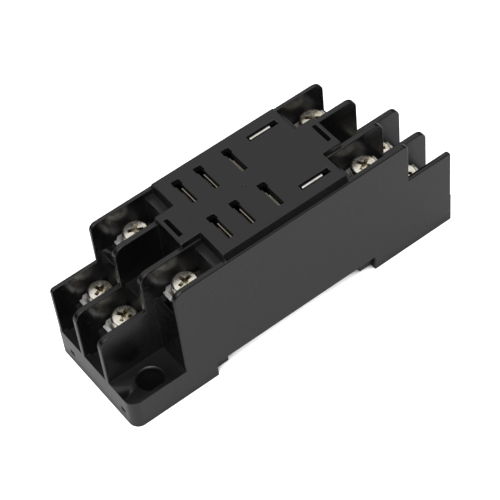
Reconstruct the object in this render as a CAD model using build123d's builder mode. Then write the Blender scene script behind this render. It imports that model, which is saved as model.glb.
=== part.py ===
from build123d import *
import os
from math import cos, radians, sin

# Relay socket for a 35 mm rail, in millimetres.
# X runs along the socket, Y across it and Z up. The origin is the middle of the underside.
# The housing is the same when it is turned half round about Z, apart from its slots.

os.makedirs("parts", exist_ok=True)

# The housing's outline
LENGTH = 72.0
WIDTH = 22.2
HALF_LENGTH = LENGTH / 2
HALF_WIDTH = WIDTH / 2
WALL = 0.9
END_WALL = 1.2
INNER_X = HALF_LENGTH - END_WALL
INNER_Y = HALF_WIDTH - WALL
FOOT_CORNER = 2.0
EAR_Z = 6.9
EAR_PLATE = 1.8
LOW_Z = 18.7
HIGH_Z = 28.3
HIGH_X = 26.25
SHORT_X = 24.3
FIN_CORNER = 2.0
LOW_FIN_CORNER = 0.8
HIGH_FIN_CORNER = 1.4
EDGE = 0.35

# The rail notch in the underside
NOTCH_X = 17.9
NOTCH_Z = 3.5

# The barriers that part the three columns of terminals
BARRIER = 1.1
BARRIER_Y = 3.69
BARRIER_IN = BARRIER_Y - BARRIER / 2
BARRIER_OUT = BARRIER_Y + BARRIER / 2
BARRIER_FOOT = 5.1
BARRIER_END_X = 13.3
COLUMN_Y = 7.2

# The decks between the barriers
FLOOR_STEP = 0.8
STEP_WALL = 1.0
STEP_FOOT = 2.0
DECK_PLATE = 1.2

# The seat that the relay stands on
SEAT_X = 13.2
SEAT_Z = 29.6
PLATE = 1.4
PLATE_Z = SEAT_Z - PLATE
SEAT_SKIRT_Z = 24.7
BEVEL_Y = 0.93
BEVEL_Z = 1.8
LEDGE_X = 14.9
LEDGE_Z = 27.0
TONGUE_X = 17.2
TONGUE_Y = 3.9
CLIP_SLOT_X = 16.0
CLIP_SLOT_LONG = 4.5
CLIP_SLOT_WIDE = 0.8
TONGUE_WALL = 0.8
RIB = 0.9
RIB_FOOT = 13.3
CROSS_RIBS = (-7.5, -2.1, 4.0)

# The blade slots: three crosswise pairs and one lengthwise pair for the coil
SLOT_WIDE = 1.1
SLOT_MOUTH_WIDE = 1.6
SLOT_MOUTH_LONG = 1.3
SLOT_LONG = 6.0
BACK_SLOT_Y = 5.15
FRONT_SLOT_Y = -5.0
SLOTS_X = (-9.8, -5.1, 0.9)
COIL_SLOT_X = 8.6
COIL_SLOT_Y = 7.3
COIL_SLOT_LONG = 6.2
COIL_SLOT_WIDE = 1.2
GATE_MARK = (-1.6, -0.8)
GATE_MARK_R = 0.4
GATE_MARK_DEEP = 0.12

# The terminals
LOWER_SCREW_X = 28.3
UPPER_SCREW_X = 19.4
LOWER_SHELF = 11.7
UPPER_SHELF = 20.9
STRIP = 0.8
STRIP_WIDE = 3.0
UPPER_STRIP_Y = 6.2
PAD_X = 2.85
PAD_Y = 2.72
PAD_CORNER = 0.5
COLLAR_R = 2.1
COLLAR = 0.8
TAPPED_R = 1.52
SLIT_WIDE = 3.4
SLIT_ROOM = 0.1
LEFT_LINK = (-13.0, -11.0)
RIGHT_LINK = (11.5, 14.5)
CROSS_LANE = 2.2
BACK_RISER = (3.4, 6.4)
MIDDLE_RISER = (2.9, 5.9)
FRONT_RISER = (-7.3, -4.3)

# The clamp plate, spring washer and screw of one terminal
PLATE_GAP = 0.02
CLAMP = 0.78
CLAMP_X = 2.8
CLAMP_Y = 2.7
CLAMP_LIP_Y = 1.85
CLAMP_LIP = 0.75
CLAMP_BEND = 0.35
CLAMP_HOLE_R = 1.62
WASHER = 0.6
WASHER_R = 2.6
WASHER_HOLE_R = 1.58
WASHER_SPLIT = 0.35
WASHER_SLANT = 0.25
SHANK_R = 1.47
SHANK = 8.0
SHANK_POINT = 0.5
HEAD_R = 2.45
HEAD = 1.86
HEAD_RIM = 1.2
DOME_R = 0.6
DOME_ARC = 72
RECESS_LONG = 2.9
RECESS_WIDE = 0.72
RECESS_DEEP = 1.15
RECESS_TAPER = 12

# The receptacles under the slots
LEAF = 0.3
COIL_LEAF = 0.5
LEAF_WIDE = 4.0
FOOT_HALF = 1.2
FOOT_Z = UPPER_SHELF
PINCH = 0.22
PINCH_Z = 25.3
FLARE = 0.55
TALL_FLARE = 0.35
BOW = 0.1
BOW_Z = 1.6
LEAF_TOP = 27.9
TALL_LEAF_TOP = 29.0
COIL_LEAF_TOP = 29.45
BACK_LEAF_Y = 4.4
FRONT_LEAF_Y = -5.8
COIL_LEAF_X = 8.0
COIL_LEAF_LONG = 4.4

# The mounting ears
EAR_HOLE_X = 29.8
EAR_HOLE_Y = 8.1
EAR_HOLE_R = 2.25
EAR_HOLE_RIM = 0.3
EAR_BOSS_R = 2.95
EAR_POCKET = (25.4, 33.3, 5.0)

# The base
FIT = 0.1
BASE_X = INNER_X - FIT
BASE_Y = INNER_Y - FIT
BASE_PLATE = 1.5
CHANNEL_WALL = 1.3
PEDESTAL_X = (25.4, 32.4)
PILLAR_X = (15.0, 23.2)
PRONG = 1.25
POST_HALF = 1.2
FOOT_POST_HALF = 1.1
COIL_POST_HALF = 1.6
BACK_FOOT_POST = (6.6, 8.6)
FRONT_FOOT_POST = (-7.7, -4.0)
BACK_COIL_POST = (6.2, 8.4)
FRONT_COIL_POST = (-8.6, -7.5)
POST_SINK = 1.0
CORE_WALL = 1.2
CORE_TOP = 10.3
COUNTERBORE_R = 2.2
COUNTERBORE = 0.9
CLEAR_R = 1.8
SCREW_ROOM = 6.4
BARB_Y = 7.9
BARB_WIDE = 1.0
BARB_Z = 2.6
BARB_TIP = 0.8
BARB_HIGH = 0.8
BARB_LIP = 0.1
BARB_ROOT = 1.0

# The rail hook and the latch
HOOK_X = 16.6
HOOK_Z = 2.0
HOOK_Y = 6.0
LEAD_IN = 0.5
GUIDE_Y = 4.4
GUIDE_Z = 4.5
LATCH_Y = 3.1
LATCH_Z = 3.2
LATCH_FOOT = 0.1
TREAD_Y = 2.3
TREAD_Z = 1.95
LATCH_FIT = 0.08
LATCH_NOSE_X = 16.5
LATCH_LEAD = 0.7
LATCH_ROOM = 0.2
WINDOW_X = (22.0, 30.6)
WINDOW_Y = 1.15
STOP_X = (29.5, 30.55)
STOP_Y = 0.95
SPRING_R = 0.8
SPRING_WIRE = 0.4
SPRING_TURNS = 7
SPRING_X = (22.25, 29.25)
SPRING_Z = 2.05
DRIVER_SLOT = (34.5, 35.3, 1.5)


def bar(x0, x1, y0, y1):
    """A rectangle between two corners, in the sketch that is open."""
    with Locations(((x0 + x1) / 2, (y0 + y1) / 2)):
        Rectangle(abs(x1 - x0), abs(y1 - y0))


def rise(z0, z1, *bars, mode=Mode.ADD):
    """Rectangles drawn in plan and extruded from one height to another."""
    with BuildSketch(Plane.XY.offset(z0)) as plan:
        for x0, x1, y0, y1 in bars:
            bar(x0, x1, y0, y1)
    extrude(plan.sketch, amount=z1 - z0, mode=mode)


def across(y0, y1, *outline, mode=Mode.ADD):
    """An outline drawn in length and height, extruded across the width."""
    with BuildSketch(Plane.XZ.offset(-y1)) as section:
        with BuildLine():
            Polyline(*outline, close=True)
        make_face()
    extrude(section.sketch, amount=y1 - y0, mode=mode)


def at_spots(shape, *spots):
    """The vertices of a sketch that stand at the given spots."""
    return [v for v in shape.vertices() if any(abs(v.X - x) + abs(v.Y - y) < 0.01 for x, y in spots)]


def finish(part, name):
    """Labels a piece and writes it as its own file."""
    part.label = name
    export_step(part, f"parts/{name}.step")


# The front wall stands full length on the notch and steps down at one end.
# Turned half round, the same wall is the back one.
with BuildPart() as front_wall:
    with BuildSketch(Plane.XZ.offset(INNER_Y)) as wall_outline:
        with BuildLine():
            Polyline(
                (-HALF_LENGTH, 0), (-NOTCH_X, 0), (-NOTCH_X, NOTCH_Z), (NOTCH_X, NOTCH_Z), (NOTCH_X, 0),
                (HALF_LENGTH, 0), (HALF_LENGTH, LOW_Z), (HIGH_X, LOW_Z), (HIGH_X, HIGH_Z),
                (-SHORT_X, HIGH_Z), (-SHORT_X, EAR_Z), (-HALF_LENGTH, EAR_Z),
                close=True,
            )
        make_face()
        fillet(at_spots(wall_outline, (-SHORT_X, HIGH_Z)), FIN_CORNER)
        fillet(at_spots(wall_outline, (HIGH_X, HIGH_Z)), HIGH_FIN_CORNER)
        fillet(at_spots(wall_outline, (HALF_LENGTH, LOW_Z)), LOW_FIN_CORNER)
    extrude(amount=WALL)
    outer_rim = front_wall.faces().sort_by(Axis.Y)[0].edges().filter_by(lambda e: e.center().Z > EAR_Z + 0.5)
    fillet(outer_rim, EDGE)

# A barrier of one end, with its two rounded steps
with BuildPart() as barrier:
    with BuildSketch(Plane.XZ.offset(-BARRIER / 2)) as barrier_outline:
        with BuildLine():
            Polyline(
                (-HALF_LENGTH, BARRIER_FOOT), (-HALF_LENGTH, LOW_Z), (-HIGH_X, LOW_Z), (-HIGH_X, HIGH_Z),
                (-BARRIER_END_X, HIGH_Z), (-BARRIER_END_X, BARRIER_FOOT),
                close=True,
            )
        make_face()
        fillet(at_spots(barrier_outline, (-HALF_LENGTH, LOW_Z), (-HIGH_X, HIGH_Z)), FIN_CORNER)
    extrude(amount=BARRIER)
    side_rims = [
        edge
        for side in (barrier.faces().sort_by(Axis.Y)[0], barrier.faces().sort_by(Axis.Y)[-1])
        for edge in side.edges()
        if edge.center().Z > EAR_Z + 0.5 and edge.center().X < -BARRIER_END_X - 0.5
    ]
    fillet(side_rims, EDGE * 0.6)

# The raised seat: a plate with steep bevels along its sides and walls that run down into the housing
with BuildPart() as seat:
    with BuildSketch(Plane.YZ.offset(-SEAT_X)):
        with BuildLine():
            Polyline(
                (-HALF_WIDTH, SEAT_SKIRT_Z), (-HALF_WIDTH, SEAT_Z - BEVEL_Z),
                (-HALF_WIDTH + BEVEL_Y, SEAT_Z), (HALF_WIDTH - BEVEL_Y, SEAT_Z),
                (HALF_WIDTH, SEAT_Z - BEVEL_Z), (HALF_WIDTH, SEAT_SKIRT_Z),
                (INNER_Y, SEAT_SKIRT_Z), (INNER_Y, PLATE_Z), (-INNER_Y, PLATE_Z), (-INNER_Y, SEAT_SKIRT_Z),
                close=True,
            )
        make_face()
    extrude(amount=2 * SEAT_X)
    fillet(seat.edges().group_by(Axis.Z)[-1], EDGE * 0.7)

# The tongue at one end of the seat, cut for the relay's hold-down clip
with BuildPart() as tongue:
    rise(PLATE_Z, SEAT_Z, (-TONGUE_X, -SEAT_X + 1, -TONGUE_Y, TONGUE_Y))
    top_edges = tongue.edges().group_by(Axis.Z)[-1].filter_by(lambda e: e.center().X < -SEAT_X)
    fillet(top_edges, EDGE * 0.7)
    pocket_x0 = -CLIP_SLOT_X - CLIP_SLOT_WIDE / 2
    pocket_x1 = -CLIP_SLOT_X + CLIP_SLOT_WIDE / 2
    pocket_y = CLIP_SLOT_LONG / 2
    rise(BARRIER_FOOT, SEAT_Z, (pocket_x0, pocket_x1, -pocket_y, pocket_y), mode=Mode.SUBTRACT)
    rise(LOW_Z - STRIP, SEAT_Z - EDGE, (-TONGUE_X, pocket_x0, -BARRIER_IN - FIT, BARRIER_IN + FIT))
    rise(UPPER_SHELF, PLATE_Z, (pocket_x1, pocket_x1 + TONGUE_WALL, -BARRIER_IN - FIT, BARRIER_IN + FIT))

# Everything inside the long walls at the left end: two terminals behind each other at the back,
# one lower terminal in the middle, and one upper terminal behind the mounting ear at the front
deck_x0 = -PEDESTAL_X[0] + FIT
deck_x1 = deck_x0 + STEP_WALL
deck_foot = LOWER_SHELF - STEP_FOOT
slit_half = SLIT_WIDE / 2
with BuildPart() as left_end:
    with Locations((0, BARRIER_Y, 0), (0, -BARRIER_Y, 0)):
        add(barrier.part)
    add(tongue.part)
    rise(0, EAR_Z, (-HALF_LENGTH, -INNER_X, -HALF_WIDTH, HALF_WIDTH))
    rise(BARRIER_FOOT, EAR_Z - FLOOR_STEP, (-INNER_X, -PEDESTAL_X[1] - FIT, -BARRIER_OUT, HALF_WIDTH - FIT))
    rise(BARRIER_FOOT, EAR_Z, (-HALF_LENGTH, -SHORT_X + STEP_WALL, -HALF_WIDTH, -BARRIER_IN - FIT))
    rise(BARRIER_FOOT, UPPER_SHELF, (-SHORT_X, -SHORT_X + STEP_WALL, -INNER_Y - FIT, -BARRIER_IN - FIT))
    # The step between the two tiers at the back, and the deck behind the middle terminal
    across(
        BARRIER_IN + FIT, INNER_Y + FIT,
        (deck_x0, deck_foot), (deck_x1, deck_foot), (deck_x1, UPPER_SHELF - STEP_WALL),
        (-PILLAR_X[1] - FIT, UPPER_SHELF - STEP_WALL), (-PILLAR_X[1] - FIT, UPPER_SHELF),
        (deck_x0, UPPER_SHELF),
    )
    across(
        -BARRIER_IN - FIT, BARRIER_IN + FIT,
        (deck_x0, deck_foot), (deck_x1, deck_foot), (deck_x1, LOW_Z - DECK_PLATE),
        (-TONGUE_X + EDGE, LOW_Z - DECK_PLATE), (-TONGUE_X + EDGE, LOW_Z), (deck_x0, LOW_Z),
    )
    # The wall at the seat's end, with a ledge and a riser up to the seat
    for y0, y1 in ((BARRIER_IN + FIT, INNER_Y + FIT), (-INNER_Y - FIT, -BARRIER_IN - FIT)):
        across(
            y0, y1,
            (-LEDGE_X, LOW_Z), (-LEDGE_X + WALL, LOW_Z), (-LEDGE_X + WALL, LEDGE_Z - WALL),
            (-SEAT_X + WALL, LEDGE_Z - WALL), (-SEAT_X + WALL, PLATE_Z + EDGE), (-SEAT_X, PLATE_Z + EDGE),
            (-SEAT_X, LEDGE_Z), (-LEDGE_X, LEDGE_Z),
        )
    # Slits that let the contacts' strips into the housing, open downwards
    slit_top = LOWER_SHELF + STRIP + SLIT_ROOM
    for y in (COLUMN_Y, 0):
        slit = (deck_x0 - FIT, deck_x1 + FIT, y - slit_half, y + slit_half)
        rise(BARRIER_FOOT, slit_top, slit, mode=Mode.SUBTRACT)
    # The mounting hole in the ear, in a boss that stands on the panel
    with Locations((-EAR_HOLE_X, -EAR_HOLE_Y, 0)):
        Cylinder(EAR_BOSS_R, EAR_Z, align=(Align.CENTER, Align.CENTER, Align.MIN))
    with Locations((-EAR_HOLE_X, -EAR_HOLE_Y, EAR_Z)):
        CounterSinkHole(radius=EAR_HOLE_R, counter_sink_radius=EAR_HOLE_R + EAR_HOLE_RIM, depth=EAR_Z)

# The body: the walls, the two ends, the seat and the ribs between the receptacles
with BuildPart() as body:
    add(front_wall.part)
    add(front_wall.part.rotate(Axis.Z, 180))
    add(left_end.part)
    add(left_end.part.rotate(Axis.Z, 180))
    add(seat.part)
    rise(RIB_FOOT, PLATE_Z + EDGE, (-SEAT_X + WALL, SEAT_X - WALL, -RIB / 2, RIB / 2))
    for x in CROSS_RIBS:
        rise(RIB_FOOT, PLATE_Z + EDGE, (x - RIB / 2, x + RIB / 2, -INNER_Y - FIT, INNER_Y + FIT))
    # Slits for the upper strips in the walls at the seat's ends
    strip_top = UPPER_SHELF + STRIP + SLIT_ROOM
    for end, y in ((-1, UPPER_STRIP_Y), (-1, -UPPER_STRIP_Y), (1, COIL_SLOT_Y), (1, -COIL_SLOT_Y)):
        x0 = end * (LEDGE_X + FIT)
        x1 = end * (LEDGE_X - WALL - FIT)
        rise(LOW_Z - FIT, strip_top, (x0, x1, y - slit_half, y + slit_half), mode=Mode.SUBTRACT)
    # The blade slots, each crosswise one with a wider mouth at its back end
    with BuildSketch(Plane.XY.offset(SEAT_Z)):
        for x in SLOTS_X:
            for y in (BACK_SLOT_Y, FRONT_SLOT_Y):
                y1 = y + SLOT_LONG / 2
                bar(x - SLOT_WIDE / 2, x + SLOT_WIDE / 2, y1 - SLOT_LONG, y1)
                bar(x - SLOT_MOUTH_WIDE / 2, x + SLOT_MOUTH_WIDE / 2, y1 - SLOT_MOUTH_LONG, y1)
        with Locations((COIL_SLOT_X, COIL_SLOT_Y), (COIL_SLOT_X, -COIL_SLOT_Y)):
            Rectangle(COIL_SLOT_LONG, COIL_SLOT_WIDE)
    extrude(amount=-PLATE, mode=Mode.SUBTRACT)
    with Locations((*GATE_MARK, SEAT_Z)):
        Hole(radius=GATE_MARK_R, depth=GATE_MARK_DEEP)
    # Windows in the end walls: two at each end for the base's barbs, and one for the latch
    for x0, x1 in ((-HALF_LENGTH, -INNER_X), (INNER_X, HALF_LENGTH)):
        for y in (BARB_Y, -BARB_Y):
            half = BARB_WIDE / 2 + FIT
            rise(BARB_Z - FIT, BARB_Z + BARB_HIGH + FIT, (x0, x1, y - half, y + half), mode=Mode.SUBTRACT)
    door_half = LATCH_Y + LATCH_ROOM
    rise(0, LATCH_Z + LATCH_ROOM, (INNER_X, HALF_LENGTH, -door_half, door_half), mode=Mode.SUBTRACT)
    # The foot's corners at the two mounting ears are rounded
    with BuildSketch(Plane.XY):
        Rectangle(LENGTH + FOOT_CORNER, WIDTH + FOOT_CORNER)
        RectangleRounded(LENGTH, WIDTH, FOOT_CORNER, mode=Mode.SUBTRACT)
        corner_x = HALF_LENGTH - FOOT_CORNER / 2
        corner_y = HALF_WIDTH - FOOT_CORNER / 2
        with Locations((-corner_x, corner_y), (corner_x, -corner_y)):
            Rectangle(FOOT_CORNER, FOOT_CORNER, mode=Mode.SUBTRACT)
    extrude(amount=EAR_Z, mode=Mode.SUBTRACT)
finish(body.part, "body")

# The lower terminals' pedestals and the forked pillars of the upper ones, at the left end
with BuildPart() as left_pedestals:
    back = (BARRIER_OUT + FIT, BASE_Y)
    middle = (-BARRIER_IN + FIT, BARRIER_IN - FIT)
    ends = (-PEDESTAL_X[1], -PEDESTAL_X[0])
    rise(BASE_PLATE / 2, LOWER_SHELF, (*ends, *back), (*ends, *middle))
    for side in (1, -1):
        y0 = side * (BARRIER_OUT + FIT)
        y1 = side * BASE_Y
        rise(
            BASE_PLATE / 2, UPPER_SHELF,
            (-PILLAR_X[1], -PILLAR_X[0], y0, y0 + side * PRONG),
            (-PILLAR_X[1], -PILLAR_X[0], y1, y1 - side * PRONG),
        )
        rise(BASE_PLATE / 2, LOWER_SHELF, (-PILLAR_X[0] - PRONG, -PILLAR_X[0], y0, y1))
    with Locations((-UPPER_SCREW_X, COLUMN_Y, UPPER_SHELF), (-UPPER_SCREW_X, -COLUMN_Y, UPPER_SHELF)):
        Hole(radius=COUNTERBORE_R, depth=COUNTERBORE)
    with Locations((-LOWER_SCREW_X, COLUMN_Y, LOWER_SHELF), (-LOWER_SCREW_X, 0, LOWER_SHELF)):
        CounterBoreHole(
            radius=CLEAR_R, counter_bore_radius=COUNTERBORE_R,
            counter_bore_depth=COUNTERBORE, depth=SCREW_ROOM,
        )

# The base, with its rail channel, pedestals, posts, hook and the latch's guide
with BuildPart() as base:
    channel_x = NOTCH_X + CHANNEL_WALL
    roof = NOTCH_Z + BASE_PLATE
    across(
        -BASE_Y, BASE_Y,
        (-BASE_X, 0), (-NOTCH_X, 0), (-NOTCH_X, NOTCH_Z), (NOTCH_X, NOTCH_Z), (NOTCH_X, 0), (BASE_X, 0),
        (BASE_X, BASE_PLATE), (channel_x, BASE_PLATE), (channel_x, roof),
        (-channel_x, roof), (-channel_x, BASE_PLATE), (-BASE_X, BASE_PLATE),
    )
    rise(0, GUIDE_Z, (NOTCH_X, BASE_X, -GUIDE_Y, GUIDE_Y))
    add(left_pedestals.part)
    add(left_pedestals.part.rotate(Axis.Z, 180))
    # Posts under the lower strips' risers, and taller ones under the upper strips' feet
    slot_a, slot_b, slot_c = SLOTS_X
    post_b = (slot_b - POST_HALF, slot_b + POST_HALF)
    post_c = (slot_c - POST_HALF, slot_c + POST_HALF)
    rise(
        roof - POST_SINK, LOWER_SHELF,
        (*post_b, *BACK_RISER), (*post_b, *FRONT_RISER), (*post_c, *MIDDLE_RISER), (*post_c, *FRONT_RISER),
    )
    post_a = (slot_a - FOOT_POST_HALF, slot_a + FOOT_POST_HALF)
    post_coil = (COIL_LEAF_X - COIL_POST_HALF, COIL_LEAF_X + COIL_POST_HALF)
    rise(
        roof - POST_SINK, FOOT_Z,
        (*post_a, *BACK_FOOT_POST), (*post_a, *FRONT_FOOT_POST),
        (*post_coil, *BACK_COIL_POST), (*post_coil, *FRONT_COIL_POST),
    )
    # Open pockets under the mounting ears
    pocket_x0, pocket_x1, pocket_y = EAR_POCKET
    rise(
        0, BASE_PLATE,
        (-pocket_x1, -pocket_x0, -BASE_Y, -pocket_y), (pocket_x0, pocket_x1, pocket_y, BASE_Y),
        mode=Mode.SUBTRACT,
    )
    # The pedestals are cored from below, except the one over the latch
    core_x0 = PEDESTAL_X[0] + CORE_WALL
    core_x1 = PEDESTAL_X[1] - CORE_WALL
    core_y0 = BARRIER_OUT + FIT + CORE_WALL
    core_y1 = BASE_Y - CORE_WALL
    core_mid = BARRIER_IN - FIT - CORE_WALL
    rise(
        0, CORE_TOP,
        (-core_x1, -core_x0, core_y0, core_y1), (-core_x1, -core_x0, -core_mid, core_mid),
        (core_x0, core_x1, -core_y1, -core_y0),
        mode=Mode.SUBTRACT,
    )
    # The latch's guide: a wide groove with two treads under it, and a stop for the spring
    guide_half = LATCH_Y + LATCH_FIT
    tread_half = TREAD_Y + LATCH_FIT
    guide_x = NOTCH_X - LEAD_IN
    rise(TREAD_Z, LATCH_Z + LATCH_FIT, (guide_x, BASE_X, -guide_half, guide_half), mode=Mode.SUBTRACT)
    rise(0, TREAD_Z, (guide_x, BASE_X, -tread_half, tread_half), mode=Mode.SUBTRACT)
    rise(SPRING_WIRE, GUIDE_Z, (*STOP_X, -STOP_Y, STOP_Y))
    # The fixed rail hook, with a lead-in
    across(
        -HOOK_Y, HOOK_Y,
        (-channel_x, 0), (-HOOK_X - LEAD_IN, 0), (-HOOK_X, LEAD_IN), (-HOOK_X, HOOK_Z), (-channel_x, HOOK_Z),
    )
    # Barbs that snap into the windows of the end walls
    for end in (1, -1):
        for y in (BARB_Y, -BARB_Y):
            tip = end * (BASE_X + BARB_TIP)
            face = end * BASE_X
            root = end * (BASE_X - BARB_ROOT)
            across(
                y - BARB_WIDE / 2, y + BARB_WIDE / 2,
                (root, BASE_PLATE / 2), (face, BASE_PLATE / 2), (face, BARB_Z), (tip, BARB_Z),
                (tip, BARB_Z + BARB_LIP), (face, BARB_Z + BARB_HIGH), (root, BARB_Z + BARB_HIGH),
            )
finish(base.part, "base")


def leaf_pair(centre, thick, tall, tall_flare, tall_top):
    """Two spring leaves in outline: out from the foot, in to a pinch, and out again at the top."""
    z_floor = FOOT_Z + STRIP / 2
    for side in (-1, 1):
        flare, top = (tall_flare, tall_top) if side == tall else (FLARE, LEAF_TOP)
        with BuildLine() as leaf:
            Spline(
                (centre + side * (FOOT_HALF - thick / 2), z_floor),
                (centre + side * (FOOT_HALF - thick / 2 - BOW), z_floor + BOW_Z),
                (centre + side * (PINCH + thick / 2), PINCH_Z),
                (centre + side * flare, top),
            )
        trace(leaf.line, line_width=thick)


def make_contact(number, screw_x, screw_y, shelf, lanes, foot, riser, tall):
    """One stamped contact: a tapped pad, a strip in plan, a foot with two leaves, and a riser."""
    slot_x, slot_y, lengthwise = foot
    long_half = COIL_LEAF_LONG / 2
    wide_half = LEAF_WIDE / 2
    with BuildPart() as contact:
        with BuildSketch(Plane.XY.offset(shelf)) as plan:
            bar(screw_x - PAD_X, screw_x + PAD_X, screw_y - PAD_Y, screw_y + PAD_Y)
            fillet(plan.vertices(), PAD_CORNER)
            for lane in lanes:
                bar(*lane)
        extrude(amount=STRIP)
        if riser:
            rise(shelf + STRIP / 2, FOOT_Z + STRIP / 2, riser)
        if lengthwise:
            sole = (slot_x - long_half, slot_x + long_half, slot_y - FOOT_HALF, slot_y + FOOT_HALF)
            rise(FOOT_Z, FOOT_Z + STRIP, sole)
            with BuildSketch(Plane.YZ.offset(slot_x - long_half)):
                leaf_pair(slot_y, COIL_LEAF, tall, 0, COIL_LEAF_TOP)
            extrude(amount=COIL_LEAF_LONG)
        else:
            sole = (slot_x - FOOT_HALF, slot_x + FOOT_HALF, slot_y - wide_half, slot_y + wide_half)
            rise(FOOT_Z, FOOT_Z + STRIP, sole)
            with BuildSketch(Plane.XZ.offset(-slot_y - wide_half)):
                leaf_pair(slot_x, LEAF, tall, TALL_FLARE, TALL_LEAF_TOP)
            extrude(amount=LEAF_WIDE)
        with Locations((screw_x, screw_y, shelf)):
            Cylinder(COLLAR_R, COLLAR, align=(Align.CENTER, Align.CENTER, Align.MAX))
        with Locations((screw_x, screw_y, shelf + STRIP)):
            Hole(radius=TAPPED_R, depth=STRIP + COLLAR)
    finish(contact.part, f"contact_{number}")


def make_clamp(number, x, y, z, outboard):
    """The square clamp plate, with a lip bent up along the edge where the wire comes in."""
    with BuildPart() as clamp:
        with BuildSketch(Plane.XY.offset(z)) as plan:
            bar(x - CLAMP_X, x + CLAMP_X, y - CLAMP_Y, y + CLAMP_Y)
            fillet(plan.vertices(), PAD_CORNER)
        extrude(amount=CLAMP)
        edge = x + outboard * CLAMP_X
        across(
            y - CLAMP_LIP_Y, y + CLAMP_LIP_Y,
            (edge - outboard * CLAMP, z), (edge, z), (edge + outboard * CLAMP_LIP, z + CLAMP_LIP),
            (edge + outboard * (CLAMP_LIP - CLAMP_BEND), z + CLAMP_LIP + CLAMP / 2),
            (edge - outboard * CLAMP_BEND, z + CLAMP), (edge - outboard * CLAMP, z + CLAMP),
        )
        with Locations((x, y, z + CLAMP)):
            Hole(radius=CLAMP_HOLE_R, depth=CLAMP)
    finish(clamp.part, f"clamp_plate_{number}")


def make_washer(number, x, y, z, angle):
    """A split spring washer, pressed nearly flat, with a slanting split."""
    with BuildPart() as washer:
        with BuildSketch(Plane.XY.offset(z)):
            with Locations((x, y)):
                Circle(WASHER_R)
                Circle(WASHER_HOLE_R, mode=Mode.SUBTRACT)
        extrude(amount=WASHER)
        turned = Plane(origin=(x, y, z), x_dir=(cos(radians(angle)), sin(radians(angle)), 0))
        with BuildSketch(Plane(origin=turned.origin, x_dir=turned.y_dir, z_dir=turned.x_dir)):
            with BuildLine():
                Polyline(
                    (-WASHER_SPLIT - WASHER_SLANT, 0), (-WASHER_SLANT, 0),
                    (WASHER_SPLIT + WASHER_SLANT, WASHER), (WASHER_SLANT, WASHER),
                    close=True,
                )
            make_face()
        extrude(amount=WASHER_R + 1, mode=Mode.SUBTRACT)
    finish(washer.part, f"spring_washer_{number}")


def make_screw(number, x, y, z, angle):
    """A pan-head screw with a cross recess, whose head stands on the height given."""
    with BuildPart() as screw:
        with BuildSketch(Plane(origin=(x, y, z), x_dir=(1, 0, 0), z_dir=(0, -1, 0))):
            with BuildLine():
                Polyline(
                    (0, HEAD), (0, -SHANK), (SHANK_R - SHANK_POINT, -SHANK), (SHANK_R, -SHANK + SHANK_POINT),
                    (SHANK_R, 0), (HEAD_R, 0), (HEAD_R, HEAD_RIM),
                )
                dome = JernArc((HEAD_R, HEAD_RIM), (0, 1), DOME_R, DOME_ARC)
                Line(dome @ 1, (0, HEAD))
            make_face()
        revolve(axis=Axis((x, y, z), (0, 0, 1)))
        turned = Plane(origin=(x, y, z + HEAD), x_dir=(cos(radians(angle)), sin(radians(angle)), 0))
        with BuildSketch(turned):
            Rectangle(RECESS_LONG, RECESS_WIDE)
            Rectangle(RECESS_WIDE, RECESS_LONG)
        extrude(amount=-RECESS_DEEP, taper=RECESS_TAPER, mode=Mode.SUBTRACT)
    finish(screw.part, f"screw_{number}")


# Where each terminal stands, on which shelf, and which end it faces: -1 left, 1 right
left_low, left_high = -LOWER_SCREW_X, -UPPER_SCREW_X
right_low, right_high = LOWER_SCREW_X, UPPER_SCREW_X
TERMINALS = {
    1: (left_low, COLUMN_Y, LOWER_SHELF),
    2: (left_high, COLUMN_Y, UPPER_SHELF),
    3: (left_low, 0, LOWER_SHELF),
    4: (left_high, -COLUMN_Y, UPPER_SHELF),
    5: (right_high, COLUMN_Y, UPPER_SHELF),
    6: (right_high, -COLUMN_Y, UPPER_SHELF),
    7: (right_low, 0, LOWER_SHELF),
    8: (right_low, -COLUMN_Y, LOWER_SHELF),
}

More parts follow.
